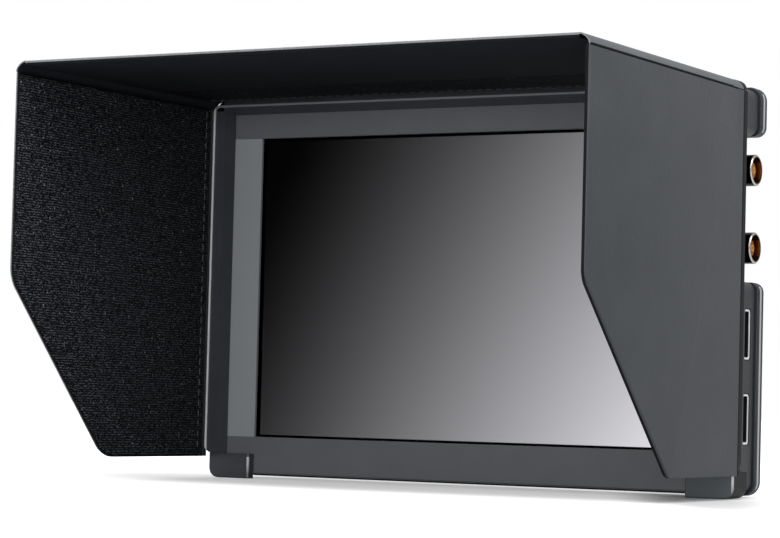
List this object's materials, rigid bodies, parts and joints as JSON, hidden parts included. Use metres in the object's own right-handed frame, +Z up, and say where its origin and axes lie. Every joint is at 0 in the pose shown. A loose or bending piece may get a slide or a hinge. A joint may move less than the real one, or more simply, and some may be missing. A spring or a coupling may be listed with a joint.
{
  "type": "camera field monitor with sun hood",
  "caption": "Flat camera field monitor with a folding fabric sun hood on a pull-off frame, side video sockets, top buttons, tripod socket and a rear battery plate.",
  "frame": {"origin": "mouth of the quarter-inch tripod socket in the body's underside, midway across the body", "axes": "+Z up, +X to the right as seen from in front of the screen, screen facing -Y"},
  "size_m": [0.1894, 0.1423, 0.1257],
  "materials": {
    "bezel_plastic": "satin moulded dark grey",
    "foam_tape": "matt black",
    "window_glass": "polished clear",
    "panel_glass": "glossy dark",
    "light_guide": "white",
    "steel_plate": "zinc plated",
    "painted_alloy": "satin dark grey paint",
    "black_steel": "black oxide",
    "brass_insert": "plain",
    "steel_insert": "plain",
    "board_laminate": "solder mask",
    "chip_epoxy": "matt",
    "jack_chrome": "bright nickel",
    "amber_insulator": "translucent amber",
    "gold_contact": "gold plated",
    "nickel_shell": "nickel plated",
    "socket_plastic": "black",
    "plate_plastic": "fine texture black",
    "latch_plastic": "satin black",
    "rail_plastic": "satin moulded charcoal",
    "button_plastic": "satin charcoal",
    "leatherette": "fine grain charcoal",
    "flap_board": "black sheet",
    "loop_fabric": "knitted loop",
    "smooth_lining": "smooth woven"
  },
  "bodies": {
    "monitor": {"front_bezel": "bezel_plastic", "glass_tape": "foam_tape", "cover_glass": "window_glass", "lcd_panel": "panel_glass", "backlight": "light_guide", "chassis_plate": "steel_plate", "housing": "painted_alloy", "rear_cover": "painted_alloy", "cover_screws": "black_steel", "plate_screws": "black_steel", "mount_inserts": "brass_insert", "tripod_insert": "steel_insert", "main_board": "board_laminate", "port_board": "board_laminate", "power_board": "board_laminate", "jack_board": "board_laminate", "button_board": "board_laminate", "board_chips": "chip_epoxy", "button_switches": "chip_epoxy", "jack_bodies": "jack_chrome", "jack_nuts": "jack_chrome", "jack_cores": "amber_insulator", "jack_contacts": "gold_contact", "hdmi_shells": "nickel_shell", "hdmi_tongues": "chip_epoxy", "phone_jack": "socket_plastic", "dc_jack": "socket_plastic", "dc_pin": "nickel_shell", "battery_plate": "plate_plastic", "battery_blades": "gold_contact"},
    "power_key": {"power_button": "button_plastic"},
    "input_key": {"input_button": "button_plastic"},
    "menu_key": {"menu_button": "button_plastic"},
    "down_key": {"down_button": "button_plastic"},
    "up_key": {"up_button": "button_plastic"},
    "exit_key": {"exit_button": "button_plastic"},
    "battery_catch": {"battery_latch": "latch_plastic"},
    "hood": {"hood_frame": "rail_plastic", "corner_clip_left": "rail_plastic", "corner_clip_right": "rail_plastic", "left_fold_strip": "leatherette", "right_fold_strip": "leatherette", "top_fold_strip": "leatherette"},
    "left_flap": {"left_flap_skin": "leatherette", "left_flap_board": "flap_board", "left_flap_lining": "loop_fabric"},
    "right_flap": {"right_flap_skin": "leatherette", "right_flap_board": "flap_board", "right_flap_lining": "loop_fabric"},
    "top_flap": {"top_flap_skin": "leatherette", "top_flap_board": "flap_board", "top_flap_lining": "smooth_lining", "top_loop_band": "loop_fabric", "top_flap_hems": "leatherette"}
  },
  "joints": [
    {"name": "hood_pull", "type": "slide", "parent": "monitor", "child": "hood", "axis": [0, -1, 0], "range_m": [0, 0.03]},
    {"name": "left_fold", "type": "hinge", "parent": "hood", "child": "left_flap", "pos_m": [-0.0947, -0.0177, 0.06], "axis": [0, 0, 1], "range_deg": [0, 90], "deforming": ["left_fold_strip"]},
    {"name": "right_fold", "type": "hinge", "parent": "hood", "child": "right_flap", "pos_m": [0.0947, -0.0194, 0.06], "axis": [0, 0, -1], "range_deg": [0, 90], "deforming": ["right_fold_strip"]},
    {"name": "top_fold", "type": "hinge", "parent": "hood", "child": "top_flap", "pos_m": [0, -0.0227, 0.1237], "axis": [1, 0, 0], "range_deg": [0, 90], "deforming": ["top_fold_strip", "top_flap_hems"]},
    {"name": "power_press", "type": "slide", "parent": "monitor", "child": "power_key", "axis": [0, 0, -1], "range_m": [0, 0.0005], "stiffness_N_per_m": 1500, "springref_m": -0.0004},
    {"name": "input_press", "type": "slide", "parent": "monitor", "child": "input_key", "axis": [0, 0, -1], "range_m": [0, 0.0005], "stiffness_N_per_m": 1500, "springref_m": -0.0004},
    {"name": "menu_press", "type": "slide", "parent": "monitor", "child": "menu_key", "axis": [0, 0, -1], "range_m": [0, 0.0005], "stiffness_N_per_m": 1500, "springref_m": -0.0004},
    {"name": "down_press", "type": "slide", "parent": "monitor", "child": "down_key", "axis": [0, 0, -1], "range_m": [0, 0.0005], "stiffness_N_per_m": 1500, "springref_m": -0.0004},
    {"name": "up_press", "type": "slide", "parent": "monitor", "child": "up_key", "axis": [0, 0, -1], "range_m": [0, 0.0005], "stiffness_N_per_m": 1500, "springref_m": -0.0004},
    {"name": "exit_press", "type": "slide", "parent": "monitor", "child": "exit_key", "axis": [0, 0, -1], "range_m": [0, 0.0005], "stiffness_N_per_m": 1500, "springref_m": -0.0004},
    {"name": "catch_press", "type": "slide", "parent": "monitor", "child": "battery_catch", "axis": [0, -1, 0], "range_m": [0, 0.0016], "stiffness_N_per_m": 800, "springref_m": -0.0015}
  ]
}
